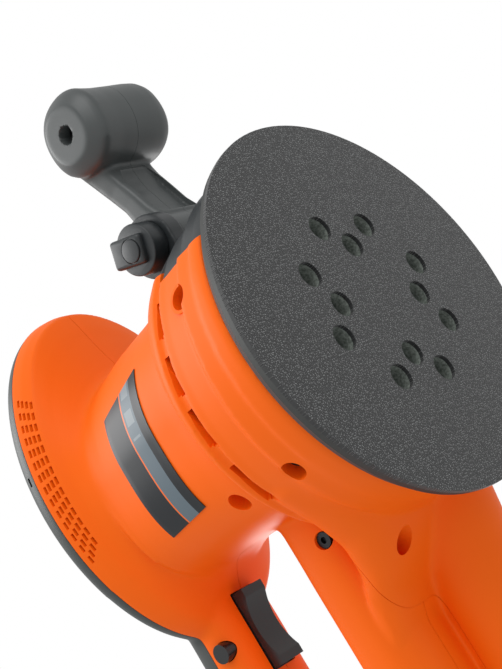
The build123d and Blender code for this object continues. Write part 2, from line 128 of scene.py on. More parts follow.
world = bpy.data.worlds.new("studio")
scene.world = world
world.use_nodes = True
sky = world.node_tree.nodes["Background"]
sky.inputs["Color"].default_value = linear("#FFFFFF")
eye = add(world.node_tree, "ShaderNodeLightPath")
glow = add(world.node_tree, "ShaderNodeMapRange", {"To Min": 0.78, "To Max": 1.0},
           {"Value": eye.outputs["Is Camera Ray"]})
world.node_tree.links.new(glow.outputs[0], sky.inputs["Strength"])


def softbox(name, place, power, size):
    """A square studio light that faces the sander."""
    lamp = bpy.data.objects.new(name, bpy.data.lights.new(name, "AREA"))
    scene.collection.objects.link(lamp)
    lamp.location = place
    lamp.rotation_euler = (Vector((0, 0, 0.08)) - lamp.location).to_track_quat("-Z", "Y").to_euler()
    lamp.data.energy = power
    lamp.data.size = size


softbox("key", (-0.62, -0.85, -0.42), 4.5, 0.7)
softbox("top", (-0.5, -0.6, 1.2), 10.0, 0.8)
softbox("rim", (0.9, 0.5, 0.9), 5.0, 0.6)

# Sanding pad.
# A 150 mm disc of polyurethane foam on a glass-filled nylon plate. Its face is a woven sheet of
# tiny hooks with painted highlights on scattered hook tips, and twelve dust holes go through.


def hook_sheet():
    """Black polyamide hook fabric: rows of hooks about half a millimetre apart, with painted highlights on
    the tips of some of them.
    """
    material, tree, out = blank("polyamide hook fabric")
    place = add(tree, "ShaderNodeTexCoord").outputs["Object"]
    tips = add(tree, "ShaderNodeTexVoronoi", {"Scale": 1 / (0.75 * MM), "Randomness": 0.85},
               {"Vector": place}, feature="F1", voronoi_dimensions="2D")
    patch = add(tree, "ShaderNodeTexNoise", {"Scale": 1 / (1.3 * MM), "Detail": 2.0}, {"Vector": place})
    # Scattered hook tips on the downward face get a pale painted glint: a painted highlight in the colour.
    glinting_tips = add(tree, "ShaderNodeMath", {1: 0.55}, {0: tips.outputs["Color"]}, operation="GREATER_THAN")
    bright = add(tree, "ShaderNodeMapRange",
                 {"From Min": 0.10, "From Max": 0.34, "To Min": 1.0, "To Max": 0.0},
                 {"Value": tips.outputs["Distance"]})
    tip_glints = add(tree, "ShaderNodeMath", links={0: bright.outputs[0], 1: glinting_tips.outputs[0]}, operation="MULTIPLY")
    facing = add(tree, "ShaderNodeSeparateXYZ", links={0: add(tree, "ShaderNodeTexCoord").outputs["Normal"]})
    below = add(tree, "ShaderNodeMath", {1: -0.8}, {0: facing.outputs["Z"]}, operation="LESS_THAN")
    painted_glint = add(tree, "ShaderNodeMath", links={0: tip_glints.outputs[0], 1: below.outputs[0]}, operation="MULTIPLY")
    dark = add(tree, "ShaderNodeValToRGB", links={"Fac": patch.outputs["Fac"]})
    dark.color_ramp.elements[0].position = 0.35
    dark.color_ramp.elements[0].color = linear("#0D0E0F")
    dark.color_ramp.elements[1].position = 0.7
    dark.color_ramp.elements[1].color = linear("#1C1E1F")
    # 8A8C8C is the colour of the painted highlights on the hook tips.
    fabric_with_painted_glints = add(tree, "ShaderNodeMixRGB", {"Color2": linear("#8A8C8C")},
               {"Fac": painted_glint.outputs[0], "Color1": dark.outputs[0]})
    bump = add(tree, "ShaderNodeBump", {"Strength": 0.8, "Distance": 0.35 * MM},
               {"Height": bright.outputs[0]})
    cloth = add(tree, "ShaderNodeBsdfPrincipled", {"Roughness": 0.62, "Sheen Weight": 0.25},
                {"Base Color": fabric_with_painted_glints.outputs[0], "Normal": bump.outputs[0]})
    tree.links.new(cloth.outputs[0], out.inputs["Surface"])
    return material


def foam():
    """Polyurethane foam: a dark moulded skin round the rim, and a paler tone within 68 mm of the axis,
    painted light on the dust hole walls.
    """
    material, tree, out = blank("moulded polyurethane foam")
    place = add(tree, "ShaderNodeTexCoord").outputs["Object"]
    middle = add(tree, "ShaderNodeMapping", {"Location": (-AXIS.x, -AXIS.y, 0), "Scale": (1, 1, 0)},
                 {"Vector": place})
    reach = add(tree, "ShaderNodeVectorMath", links={0: middle.outputs[0]}, operation="LENGTH")
    # Within 68 mm of the axis the foam is painted paler: painted light on the dust hole walls, which would
    # read dark in their shade.
    cut = add(tree, "ShaderNodeMath", {1: 68 * MM}, {0: reach.outputs["Value"]}, operation="LESS_THAN")
    pores = add(tree, "ShaderNodeTexNoise", {"Scale": 1 / (0.9 * MM), "Detail": 4.0}, {"Vector": place})
    tone = add(tree, "ShaderNodeValToRGB", links={"Fac": pores.outputs["Fac"]})
    tone.color_ramp.elements[0].color = linear("#1D1F1D")
    tone.color_ramp.elements[1].color = linear("#2E302E")
    painted_lit_walls = add(tree, "ShaderNodeValToRGB", links={"Fac": pores.outputs["Fac"]})
    painted_lit_walls.color_ramp.elements[0].position = 0.35
    painted_lit_walls.color_ramp.elements[0].color = linear("#5D645E")
    painted_lit_walls.color_ramp.elements[1].position = 0.65
    painted_lit_walls.color_ramp.elements[1].color = linear("#8F968F")
    both = add(tree, "ShaderNodeMixRGB", links={"Fac": cut.outputs[0], "Color1": tone.outputs[0],
                                               "Color2": painted_lit_walls.outputs[0]})
    bump = add(tree, "ShaderNodeBump", {"Strength": 0.25, "Distance": 0.2 * MM},
               {"Height": pores.outputs["Fac"]})
    skin = add(tree, "ShaderNodeBsdfPrincipled", {"Roughness": 0.6},
               {"Base Color": both.outputs[0], "Normal": bump.outputs[0]})
    tree.links.new(skin.outputs[0], out.inputs["Surface"])
    return material


def finish_node(name, material):
    """Gives a carried-over part its finish."""
    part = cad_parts[name]
    part.data.materials.clear()
    part.data.materials.append(material)


finish_node("hook_face", hook_sheet())
finish_node("pad_foam", foam())

# Orange casings.
# The shroud with its dust duct, and the two clamshell halves that make the barrel, the palm head
# and the loop handle. All are injection-moulded ABS with a satin spark-eroded surface and 2.6 mm
# walls. They are shaped as one body, so that the flowing roots of the handle run across the joints,
# and then parted along the real split lines.
WALL = 2.6
SEAM = 150.0
SHROUD_TOP = 57.0
# Level sections of the body: height, half width, reach forward, reach back, and middle.
BARREL = [(46, 50, 50, 50, 0), (57, 52, 52, 52, 0), (70, 50.5, 50.5, 50, 0), (84, 49.5, 48.5, 48, 0),
          (106, 47.6, 46.5, 46.5, 0), (119, 45.2, 44.5, 46, 0), (126, 44, 43.3, 46.5, 0),
          (128.5, 44.1, 45, 48, 0), (132, 45, 51.5, 54, -1), (136, 46.4, 62, 63, -3), (139, 48, 71.5, 71, -5)]
BAND = [(140.2, 49, 74.2, 73, -5), (145, 51.4, 76.4, 74.8, -5), (SEAM, 53, 77.5, 76, -5)]
CROWN = [(154.5, 52.4, 76.6, 75, -5), (159, 49.6, 72.6, 71, -5), (162.3, 43.5, 64.5, 63, -5),
         (164.6, 33, 52, 51, -5), (165.8, 18, 32, 31, -5)]
UPPER_ARM, LOWER_ARM = 149.5, 75.0
REAR, BEND = 160.0, 32.0


def oval(row, inset=0.0, count=112):
    """A level loop: an ellipse in front, squarer behind below the head, round behind within it."""
    z, half, front, rear, middle = row
    squareness = 3.0 if z < 130 else 2.0
    points = []
    for i in range(count):
        turn = math.tau * i / count
        power = 2 / (squareness if math.sin(turn) > 0 else 2.0)
        reach = rear if math.sin(turn) > 0 else front
        x = (half - inset) * math.copysign(abs(math.cos(turn)) ** power, math.cos(turn))
        y = (reach - inset) * math.copysign(abs(math.sin(turn)) ** power, math.sin(turn))
        points.append((x, middle + y, z))
    return points


def ease(rows, step):
    """Rows between the given ones, every step or so, on a smooth curve through them."""
    made = []
    for i, (a, b) in enumerate(zip(rows, rows[1:])):
        before = rows[max(i - 1, 0)]
        after = rows[min(i + 2, len(rows) - 1)]
        count = max(1, round((b[0] - a[0]) / step))
        for k in range(count):
            t = k / count
            row = []
            for p, q, r, s in zip(before, a, b, after):
                slope_q = (r - p) / 2 if i else r - q
                slope_r = (s - q) / 2 if i < len(rows) - 2 else r - q
                row.append(q * (2 * t**3 - 3 * t**2 + 1) + slope_q * (t**3 - 2 * t**2 + t)
                           + r * (3 * t**2 - 2 * t**3) + slope_r * (t**3 - t**2))
            row[0] = a[0] + (b[0] - a[0]) * t
            made.append(tuple(row))
    return made + [rows[-1]]


def loft(bm, loops):
    """Joins closed loops of points in order and closes both ends."""
    rings = []
    for points in loops:
        verts = bmesh.ops.create_circle(bm, segments=len(points), radius=1.0)["verts"]
        for vert, place in zip(verts, points):
            vert.co = place
        rings.append((verts, list({edge for vert in verts for edge in vert.link_edges})))
    for a, b in zip(rings, rings[1:]):
        bmesh.ops.bridge_loops(bm, edges=a[1] + b[1])
    for end in (rings[0], rings[-1]):
        bmesh.ops.contextual_create(bm, geom=end[1])


def spin(bm, points, segments=160):
    """Turns an open outline of (radius, height) points round the spindle. Its ends are on the axis."""
    verts = [bm.verts.new((r, 0, z)) for r, z in points]
    edges = [bm.edges.new(pair) for pair in zip(verts, verts[1:])]
    bmesh.ops.spin(bm, geom=verts + edges, axis=(0, 0, 1), cent=(0, 0, 0), angle=math.tau, steps=segments,
                   use_merge=True)
    bmesh.ops.remove_doubles(bm, verts=bm.verts, dist=0.001)


def rod(bm, radius, start, end, segments=40, end_radius=None):
    """A round bar between two points."""
    a, b = Vector(start), Vector(end)
    turn = (b - a).to_track_quat("Z", "Y").to_matrix().to_4x4()
    made = bmesh.ops.create_cone(bm, cap_ends=True, segments=segments, radius1=radius,
                                 radius2=radius if end_radius is None else end_radius, depth=(b - a).length,
                                 matrix=Matrix.Translation((a + b) / 2) @ turn)
    return made["verts"]


def brick(bm, low, high):
    """A box between two corners."""
    low, high = Vector(low), Vector(high)
    size = Matrix.Diagonal((*(high - low), 1))
    return bmesh.ops.create_cube(bm, size=1.0, matrix=Matrix.Translation((low + high) / 2) @ size)["verts"]


def loop_stations(inset=0.0):
    """Sections of the loop handle, from the head round the back and forward into the barrel."""
    turn_y = REAR - BEND
    arc = BEND * math.pi / 2
    runs = [turn_y - 25, arc, UPPER_ARM - LOWER_ARM - 2 * BEND, arc, turn_y - 25]
    count = 130
    loops = []
    for i in range(count + 1):
        s = sum(runs) * i / count
        part = 0
        while part < 4 and s > runs[part]:
            s -= runs[part]
            part += 1
        turn = s / BEND
        if part == 0:
            y, z, heading = 25 + s, UPPER_ARM, 0.0
        elif part == 1:
            y, z, heading = turn_y + BEND * math.sin(turn), UPPER_ARM - BEND + BEND * math.cos(turn), turn
        elif part == 2:
            y, z, heading = REAR, UPPER_ARM - BEND - s, math.pi / 2
        elif part == 3:
            y, z, heading = turn_y + BEND * math.cos(turn), LOWER_ARM + BEND - BEND * math.sin(turn), \
                math.pi / 2 + turn
        else:
            y, z, heading = turn_y - s, LOWER_ARM, math.pi
        out_y, out_z = math.sin(heading), math.cos(heading)
        wide, tall = 18.0 - inset, 15.5 - inset
        points = []
        for k in range(64):
            a = math.tau * k / 64
            x = wide * math.copysign(abs(math.cos(a)) ** 0.78, math.cos(a))
            n = tall * math.copysign(abs(math.sin(a)) ** 0.78, math.sin(a))
            points.append((x, y + n * out_y, z + n * out_z))
        loops.append(points)
    return loops


def slab(y, half, z0, z1, power=0.7):
    """An upright rounded section of the handle's root."""
    points = []
    for k in range(64):
        a = math.tau * k / 64
        x = half * math.copysign(abs(math.cos(a)) ** power, math.cos(a))
        z = (z1 - z0) / 2 * math.copysign(abs(math.sin(a)) ** power, math.sin(a))
        points.append((x, y, (z0 + z1) / 2 + z))
    return points


def between(rows, count):
    """Rows spaced evenly along a smooth curve through the given rows."""
    made = []
    for i in range(count + 1):
        t = i / count * (len(rows) - 1)
        k = min(int(t), len(rows) - 2)
        f = t - k
        f = f * f * (3 - 2 * f) * 0.35 + f * 0.65
        made.append(tuple(a + (b - a) * f for a, b in zip(rows[k], rows[k + 1])))
    return made


def solid(name, build):
    """A new object from a bmesh in millimetres about the spindle, normals outwards."""
    bm = bmesh.new()
    build(bm)
    bmesh.ops.recalc_face_normals(bm, faces=bm.faces)
    bmesh.ops.translate(bm, verts=bm.verts, vec=(AXIS.x / MM, AXIS.y / MM, 0))
    bmesh.ops.scale(bm, verts=bm.verts, vec=(MM, MM, MM))
    made = bpy.data.objects.new(name, bpy.data.meshes.new(name))
    bm.to_mesh(made.data)
    bm.free()
    scene.collection.objects.link(made)
    return made


def settle(piece):
    """Applies a piece's modifiers to its mesh."""
    bpy.context.view_layer.update()
    piece.data = bpy.data.meshes.new_from_object(piece.evaluated_get(bpy.context.evaluated_depsgraph_get()))
    piece.modifiers.clear()
    return piece


def fuse(piece, voxel):
    """Melts overlapping closed shapes into one skin of even facets."""
    melt = piece.modifiers.new("melt", "REMESH")
    melt.mode = "VOXEL"
    melt.voxel_size = voxel * MM
    return settle(piece)


def soften(piece, rounds, weight=None):
    """Rounds a fused skin. weight says how much at a point in millimetres about the spindle, 0 to 1."""
    relax = piece.modifiers.new("relax", "SMOOTH")
    relax.factor = 0.5
    relax.iterations = rounds
    if weight:
        group = piece.vertex_groups.new(name="relax")
        for vert in piece.data.vertices:
            amount = weight(vert.co.x / MM, (vert.co.y - AXIS.y) / MM, vert.co.z / MM)
            if amount > 0.01:
                group.add([vert.index], min(amount, 1.0), "REPLACE")
        relax.vertex_group = "relax"
    return settle(piece)


def carve(piece, cutter, operation="DIFFERENCE", solver="MANIFOLD"):
    """Cuts a piece with another, which is used up."""
    cut = piece.modifiers.new("cut", "BOOLEAN")
    cut.operation = operation
    cut.solver = solver
    cut.object = cutter
    settle(piece)
    bpy.data.objects.remove(cutter)
    return piece


def copy_of(piece, name):
    """A separate copy of a piece's mesh."""
    made = bpy.data.objects.new(name, piece.data.copy())
    scene.collection.objects.link(made)
    return made


# The ring's outline as radius and height, its rise towards the back, the sections of the handle's root
# as (y, half width, bottom, top), and those of the dust duct as (y, x, z, radius).
RING_RISE = 0.085
RING = [(0, 9), (66.4, 9), (70, 9), (70.6, 12), (70.4, 17.6), (69.6, 18.3), (69.4, 27.2), (67.2, 29.2),
        (65.4, 40), (65.2, 44.6), (62.6, 45.6), (62.4, 49.6), (63.6, 50.4), (62.8, 53.2), (59.6, 57.2),
        (0, 57.2)]
ROOT = [(28, 56, 27, 56), (44, 50, 27, 57), (56, 38, 28, 58), (68, 27, 33, 60), (80, 20.5, 43, 64),
        (92, 17.6, 54, 70), (108, 16, 61, 74)]
DUCT = [(20, 22, 46, 24), (48, 27, 47, 24), (70, 28, 48.5, 22), (92, 28, 49.6, 19.6), (112, 28, 50, 19),
        (142, 28, 50, 19)]


def lean(bm):
    """Tilts the middle levels of the ring, which rise towards the back."""
    for vert in bm.verts:
        rise = min(1.0, max(0.0, (vert.co.z - 12) / 8), max(0.0, (57.5 - vert.co.z) / 5))
        vert.co.z += RING_RISE * vert.co.y * rise


def casing(bm):
    spin(bm, RING)
    lean(bm)
    loft(bm, [oval(row) for row in ease(BARREL, 2.0)[:-1] + BAND + ease([BAND[-1]] + CROWN, 1.0)[1:]])
    loft(bm, loop_stations())
    loft(bm, [slab(*row) for row in between(ROOT, 40)])
    pipe = []
    for y, x, z, r in between(DUCT, 60):
        pipe.append([(x + r * math.cos(math.tau * k / 72), y, z + r * math.sin(math.tau * k / 72))
                     for k in range(72)])
    loft(bm, pipe)


def near_joins(x, y, z):
    """Heavy rounding where the arms leave the barrel and head and where the root leaves the shroud."""
    amount = 0.0
    if 34 < y < 74 and z > 58:
        amount = 1.0 - max(0.0, (abs(y - 50) - 14) / 10)
    if y > 40 and z <= 62 and abs(x) < 58:
        amount = max(amount, min(1.0, (math.hypot(x, y) - 60) / 14)) if z > 14 else amount
    if z > SEAM - 2 and 50 < y < 92:
        amount = max(amount, 0.8)
    return max(0.0, amount)


body = fuse(solid("casing", casing), 0.95)
soften(body, 3)
soften(body, 45, near_joins)

CAVITY = [(0, 5), (66.2, 5), (66.4, 27), (62.8, 40), (59.6, 42), (58.6, 49.6), (56.8, 54), (0, 54)]


def hollow(bm):
    """The space inside the barrel, head and loop, open downwards into the shroud."""
    rows = [(z, half - WALL, front - WALL, rear - WALL, mid) for z, half, front, rear, mid in BARREL + BAND]
    top = [(z - WALL, half - 4, front - 4, rear - 4, mid) for z, half, front, rear, mid in CROWN[1:]]
    loft(bm, [oval(row) for row in rows + top])
    loft(bm, loop_stations(WALL))
    rod(bm, 16, (28, 46, 50), (28, 143, 50), 72)
    spin(bm, CAVITY)


carve(body, fuse(solid("hollow", hollow), 1.6))

# Air slots as angle and half length; screw pockets as angle, radius and height; then the rest, in
# millimetres from the spindle, as (y, z) for what lies across the body.
LOUVRES = [(208.3, 6.8), (188.6, 6.8), (170.2, 6.8), (146.5, 8.6), (332, 6.8), (351, 6.8), (8, 6.8)]
VANE_TURN = -24
POCKETS = [(205, 70, 26.6), (144.4, 70, 28.4), (333, 70, 24), (28, 70, 26), (140.4, 56.5, 68.5)]
ROOT_HOLE = (-10.1, 76.9)
CLAMP_SCREWS = [(61.5, 68), (118, 70), (150, 112), (135, 143)]
LOCK = (76, 142.5)
INLET_Z = 95
PIVOT = (-65.5, 62)
DIAL_Y = 104


def turn_z(bm, verts, degrees, place=(0, 0, 0)):
    bmesh.ops.rotate(bm, verts=verts, cent=place, matrix=Matrix.Rotation(math.radians(degrees), 3, "Z"))


def slot_level(angle):
    return 46.6 + RING_RISE * 63 * math.sin(math.radians(angle))


def openings(bm):
    """Air slots, screw pockets, and the holes for trigger, lock, dial, cord and handle."""
    for angle, half in LOUVRES:
        level = slot_level(angle)
        verts = brick(bm, (55, -half, level - 2.3), (78, half, level + 2.1))
        turn_z(bm, verts, VANE_TURN, (62, 0, 0))
        turn_z(bm, verts, angle)
    for angle, radius, z in POCKETS:
        turn_z(bm, rod(bm, 4.4, (radius - 8, 0, z), (radius + 12, 0, z)), angle)
    rod(bm, 4.2, (*ROOT_HOLE, 28), (*ROOT_HOLE, 50))
    brick(bm, (-58, -21.4, 152.3), (-48, -17.6, 153.7))
    for y, z in CLAMP_SCREWS:
        rod(bm, 3.4, (-40, y, z), (-14, y, z))
    rod(bm, 4.3, (-30, *LOCK), (0, *LOCK))
    rod(bm, 9.0, (0, 150, INLET_Z), (0, 190, INLET_Z))
    rod(bm, 11.9, (-12.8, *PIVOT), (12.8, *PIVOT), 64)
    brick(bm, (-6.8, 57.7, UPPER_ARM - 23.5), (6.8, 92.3, UPPER_ARM - 8))
    brick(bm, (-4.3, DIAL_Y - 10.6, 151), (4.3, DIAL_Y + 10.6, 180))


def bosses(bm):
    """Round bosses behind the screw pockets."""
    for angle, radius, z in POCKETS:
        turn_z(bm, rod(bm, 5.6, (radius - 12.5, 0, z), (radius - 2.5, 0, z)), angle)


def scoops(bm):
    """Slanting beds that lead from the shroud's upper rim down into each air slot."""
    for angle, half in LOUVRES:
        level = slot_level(angle)
        verts = brick(bm, (60.6, -half + 0.6, level - 1.0), (80, half + 1.6, level + 7.6))
        for vert in verts:
            if vert.co.x < 61 and vert.co.z > level + 1:
                vert.co.z -= 5.4
        turn_z(bm, verts, VANE_TURN, (62, 0, 0))
        turn_z(bm, verts, angle)


carve(body, solid("bosses", bosses), "UNION")
carve(body, solid("openings", openings), solver="EXACT")
carve(body, solid("scoops", scoops))


def grille(bm):
    """Four slanting rows of small cooling slots in each flank of the head."""
    for side in (-1, 1):
        for row in range(4):
            z = 141.5 + 1.85 * row
            for i in range(14):
                y = -46.7 - 1.0 * row + (4.7 + 0.2 * row) * i
                x = side * 51.0 * math.sqrt(1 - ((y + 5) / 75.5) ** 2)
                flank = math.degrees(math.atan2(-side * (y + 5) * (51.0 / 75.5) ** 2, abs(x)))
                verts = brick(bm, (x - 4.5, y - 1.6, z - 0.6), (x + 4.5, y + 1.6, z + 0.6))
                turn_z(bm, verts, -flank, (x, y, z))


carve(body, solid("grille", grille))


def part_of(name, low, high):
    """The share of the casing between two corners, as a piece of its own."""
    block = solid("share", lambda bm: brick(bm, low, high))
    piece = carve(copy_of(body, name), block, "INTERSECT")
    piece.data.set_sharp_from_angle(angle=math.radians(38))
    return piece


GAP = 0.12
FAR = 400
shroud = part_of("shroud", (-FAR, -FAR, -FAR), (FAR, FAR, SHROUD_TOP - GAP))
left = part_of("left_casing", (-FAR, -FAR, SHROUD_TOP + GAP), (-GAP, FAR, SEAM - GAP))
right_half = part_of("right_casing", (GAP, -FAR, SHROUD_TOP + GAP), (FAR, FAR, SEAM - GAP))
cap = part_of("crown_cap", (-FAR, -FAR, SEAM + GAP), (FAR, FAR, FAR))
# The ring stops at BRACKET_Y, and its upper rim reaches on to BROW_Y; nylon fills in front of them.
BRACKET_Y = -41.2
BROW_Y, BROW_Z = -46.5, 45.2
carve(shroud, solid("bracket_seat", lambda bm: brick(bm, (-90, -90, 4), (90, BRACKET_Y, BROW_Z))))
carve(shroud, solid("brow_seat", lambda bm: brick(bm, (-90, -90, BROW_Z - 1), (90, BROW_Y, SHROUD_TOP + 1))))
bpy.data.objects.remove(body)


def moulded(name, colour, rough, grain_mm, depth_mm, specular=0.5):
    """Moulded plastic with the fine texture that a spark-eroded mould leaves, and slow changes of gloss."""
    material, tree, out = blank(name)
    place = add(tree, "ShaderNodeTexCoord").outputs["Object"]
    grain = add(tree, "ShaderNodeTexNoise", {"Scale": 1 / (grain_mm * MM), "Detail": 2.0}, {"Vector": place})
    wear = add(tree, "ShaderNodeTexNoise", {"Scale": 1 / (40 * MM), "Detail": 3.0}, {"Vector": place})
    gloss = add(tree, "ShaderNodeMapRange", {"To Min": rough - 0.04, "To Max": rough + 0.05},
                {"Value": wear.outputs["Fac"]})
    bump = add(tree, "ShaderNodeBump", {"Strength": 0.3, "Distance": depth_mm * MM},
               {"Height": grain.outputs["Fac"]})
    skin = add(tree, "ShaderNodeBsdfPrincipled",
               {"Base Color": linear(colour), "Specular IOR Level": specular},
               {"Roughness": gloss.outputs[0], "Normal": bump.outputs[0]})
    tree.links.new(skin.outputs[0], out.inputs["Surface"])
    return material


def smooth(piece):
    for face in piece.data.polygons:
        face.use_smooth = True


def fit(piece, material, body_name, nodes):
    """Finishes a new piece: its material, its body, and the CAD nodes that it stands for."""
    piece.data.materials.clear()
    piece.data.materials.append(material)
    smooth(piece)
    piece.data.set_sharp_from_angle(angle=math.radians(38))
    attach(piece, body_name)
    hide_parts(*nodes)


orange = moulded("orange moulded ABS", "#F5660A", 0.5, 0.8, 0.04, 0.14)
cap_black = moulded("black glass-filled nylon", "#2E3331", 0.45, 0.7, 0.05)
fit(shroud, orange, "tool", ["base_shroud"])
fit(left, orange, "tool", ["left_housing"])
fit(right_half, orange, "tool", ["right_housing"])
fit(cap, cap_black, "tool", ["top_cap"])


# Rating label.
# A printed polyester film on the barrel's left flank: charcoal and blue-grey fields and no lettering.
# It is a thin shell of the barrel's own curve, cut to a slanted outline.
LABEL_Z = (82, 108)


def label_shell(bm):
    loft(bm, [oval(row, -0.42, 224) for row in ease(BARREL, 1.0) if 70 < row[0] < 118])


def label_core(bm):
    loft(bm, [oval(row, -0.12, 224) for row in ease(BARREL, 1.0) if 68 < row[0] < 120])


def label_outline(bm):
    verts = brick(bm, (-70, -28, LABEL_Z[0]), (-15, 30, LABEL_Z[1]))
    for vert in verts:
        vert.co.y += (vert.co.z - LABEL_Z[0]) * (0.30 if vert.co.y < 0 else 0.05)


label = carve(carve(solid("rating_label", label_shell), solid("core", label_core)),
              solid("outline", label_outline), "INTERSECT")


def label_film():
    """Printed film: bands at fixed heights, with four pale blocks at the front of the middle band."""
    material, tree, out = blank("printed polyester film")
    place = add(tree, "ShaderNodeTexCoord").outputs["Object"]
    axes = add(tree, "ShaderNodeSeparateXYZ", links={0: place})
    level = add(tree, "ShaderNodeMapRange", {"From Min": LABEL_Z[0] * MM, "From Max": LABEL_Z[1] * MM},
                {"Value": axes.outputs["Z"]})
    bands = add(tree, "ShaderNodeValToRGB", links={"Fac": level.outputs[0]})
    bands.color_ramp.interpolation = "CONSTANT"
    fields = [(0.0, "#25282B"), (0.19, "#5F6C74"), (0.47, "#E86A22"), (0.50, "#222528")]
    for i, (start, code) in enumerate(fields):
        element = bands.color_ramp.elements[i] if i < 2 else bands.color_ramp.elements.new(start)
        element.position = start
        element.color = linear(code)
    blocks = add(tree, "ShaderNodeMath", {1: 5.2 * MM}, {0: axes.outputs["Y"]}, operation="PINGPONG")
    lit = add(tree, "ShaderNodeMath", {1: 2.4 * MM}, {0: blocks.outputs[0]}, operation="GREATER_THAN")
    front = add(tree, "ShaderNodeMath", {1: -7 * MM}, {0: axes.outputs["Y"]}, operation="LESS_THAN")
    low = add(tree, "ShaderNodeMath", {1: 0.24}, {0: level.outputs[0]}, operation="GREATER_THAN")
    high = add(tree, "ShaderNodeMath", {1: 0.43}, {0: level.outputs[0]}, operation="LESS_THAN")
    inside = lit.outputs[0]
    for limit in (front, low, high):
        both = add(tree, "ShaderNodeMath", links={0: inside, 1: limit.outputs[0]}, operation="MULTIPLY")
        inside = both.outputs[0]
    print_ = add(tree, "ShaderNodeMixRGB", {"Color2": linear("#7E888D")},
                 {"Fac": inside, "Color1": bands.outputs[0]})
    skin = add(tree, "ShaderNodeBsdfPrincipled", {"Roughness": 0.32, "Specular IOR Level": 0.25},
               {"Base Color": print_.outputs[0]})
    tree.links.new(skin.outputs[0], out.inputs["Surface"])
    return material


fit(label, label_film(), "tool", ["label_plate"])

# Front handle.
# Two glass-filled nylon halves screwed together through the end of the grip. A flanged arm with a
# recessed web runs down to the eye on the pivot. The halves meet in a fine line at the middle.
GRIP = (-122.2, 67.0)
ARM_LINE = [(-124, 70.5, 15.5, 11), (-112, 74, 14.6, 7.6), (-104, 72.6, 13.4, 6.0), (-96, 70, 12.7, 5.3),
            (-88, 66.8, 12.5, 5.2), (-80, 64.6, 12.5, 5.8), (-72, 62.6, 12.5, 8)]


def grip_ring(x, deep, tall, count=72):
    points = []
    for k in range(count):
        a = math.tau * k / count
        y = deep * math.copysign(abs(math.cos(a)) ** 0.9, math.cos(a))
        z = tall * math.copysign(abs(math.sin(a)) ** 0.9, math.sin(a))
        points.append((x, GRIP[0] + y, GRIP[1] + z))
    return points


def arm_ring(y, z, half, deep, count=56):
    points = []
    for k in range(count):
        a = math.tau * k / count
        x = half * math.copysign(abs(math.cos(a)) ** 0.35, math.cos(a))
        h = deep * math.copysign(abs(math.sin(a)) ** 0.35, math.sin(a))
        points.append((x, y + 0.38 * h, z + h))
    return points


def handle_form(bm):
    ends = [(-22.6, 9.6), (-22.5, 11.2), (-21.3, 13.0), (-19.4, 15.3), (-17.6, 16.7), (-16.2, 17.0),
            (-14.2, 16.8), (-8, 16.5), (2, 16.7), (10, 17.0), (15, 16.9), (18, 16.0), (20.6, 14.2),
            (22.4, 11.6), (23.2, 8.5)]
    loft(bm, [grip_ring(x, r, r) for x, r in ends])
    loft(bm, [arm_ring(*row) for row in between(ARM_LINE, 48)])
    rod(bm, 11, (-12.4, *PIVOT), (12.4, *PIVOT), 64)


def near_grip(x, y, z):
    reach = math.hypot(y - GRIP[0], z - GRIP[1])
    if y < -111 and abs(x) > 16.5:
        return 0.0
    return max(0.0, 1 - abs(reach - 19) / 8) if y > GRIP[0] - 2 else 0.0


def web_pockets(bm):
    for side in (-1, 1):
        loops = []
        for y, z, half, deep in between(ARM_LINE[1:], 60)[:-6]:
            if y < -103:
                continue
            sunk = 2.2 * min(1.0, 0.05 + (y + 103) / 12)
            floor_z, lip_z = z + side * (deep - sunk), z + side * (deep + 8)
            wide = 9.9 * min(1.0, 0.7 + (y + 103) / 20)
            loops.append([(-wide, y, floor_z), (wide, y, floor_z),
                          (wide * 1.05, y, lip_z), (-wide * 1.05, y, lip_z)])
        loft(bm, loops)


handle = fuse(solid("handle", handle_form), 0.6)
soften(handle, 2)
soften(handle, 40, near_grip)
carve(handle, fuse(solid("pockets", web_pockets), 0.6))
carve(handle, solid("bore", lambda bm: rod(bm, 5.05, (-30, *PIVOT), (30, *PIVOT), 48)))
carve(handle, solid("end_hole", lambda bm: rod(bm, 3.7, (-40, *GRIP), (-14, *GRIP), 48)))
soften(handle, 2)
halves = []
for name, low, high, node in (("grip_left_half", (-60, -160, 20), (-0.07, -40, 110), "handle_left"),
                              ("grip_right_half", (0.07, -160, 20), (60, -40, 110), "handle_right")):
    half = carve(copy_of(handle, name), solid("share", lambda bm: brick(bm, low, high)), "INTERSECT")
    halves.append((half, node))
bpy.data.objects.remove(handle)
grip_nylon = moulded("charcoal glass-filled nylon", "#414545", 0.42, 0.9, 0.05, 0.55)
for half, node in halves:
    fit(half, grip_nylon, "aux_handle", [node])

# Pivot of the front handle.
# One nylon moulding closes the shroud's front and carries two cheeks, with a steel bolt through them.
# The clamp knob on the left end is a round boss with a flat lever and a plug over the bolt.
CHEEK_IN, CHEEK_OUT = 12.8, 20.3


def edged(bm, verts, width):
    """Rounds every edge sharper than 30 degrees on the given shape."""
    faces = {face for vert in verts for face in vert.link_faces}
    edges = [edge for edge in {edge for face in faces for edge in face.edges}
             if len(edge.link_faces) == 2 and edge.calc_face_angle() > math.radians(30)]
    bmesh.ops.bevel(bm, geom=edges, offset=width, segments=3, affect="EDGES", profile=0.5, material=-1)


def cheeks(bm):
    for side in (-1, 1):
        rod(bm, 12.5, (side * CHEEK_IN, *PIVOT), (side * CHEEK_OUT, *PIVOT), 64)
        x0, x1 = sorted((side * CHEEK_IN, side * CHEEK_OUT))
        brick(bm, (x0, PIVOT[0] - 2, PIVOT[1] - 12.4), (x1, PIVOT[0] + 16, PIVOT[1] + 6))


def front_wall(bm):
    """The nylon wall that closes the shroud's front, just inside the line of its ring, as a full turn."""
    spin(bm, [(max(r - 1.6, 0), z) for r, z in RING])
    lean(bm)


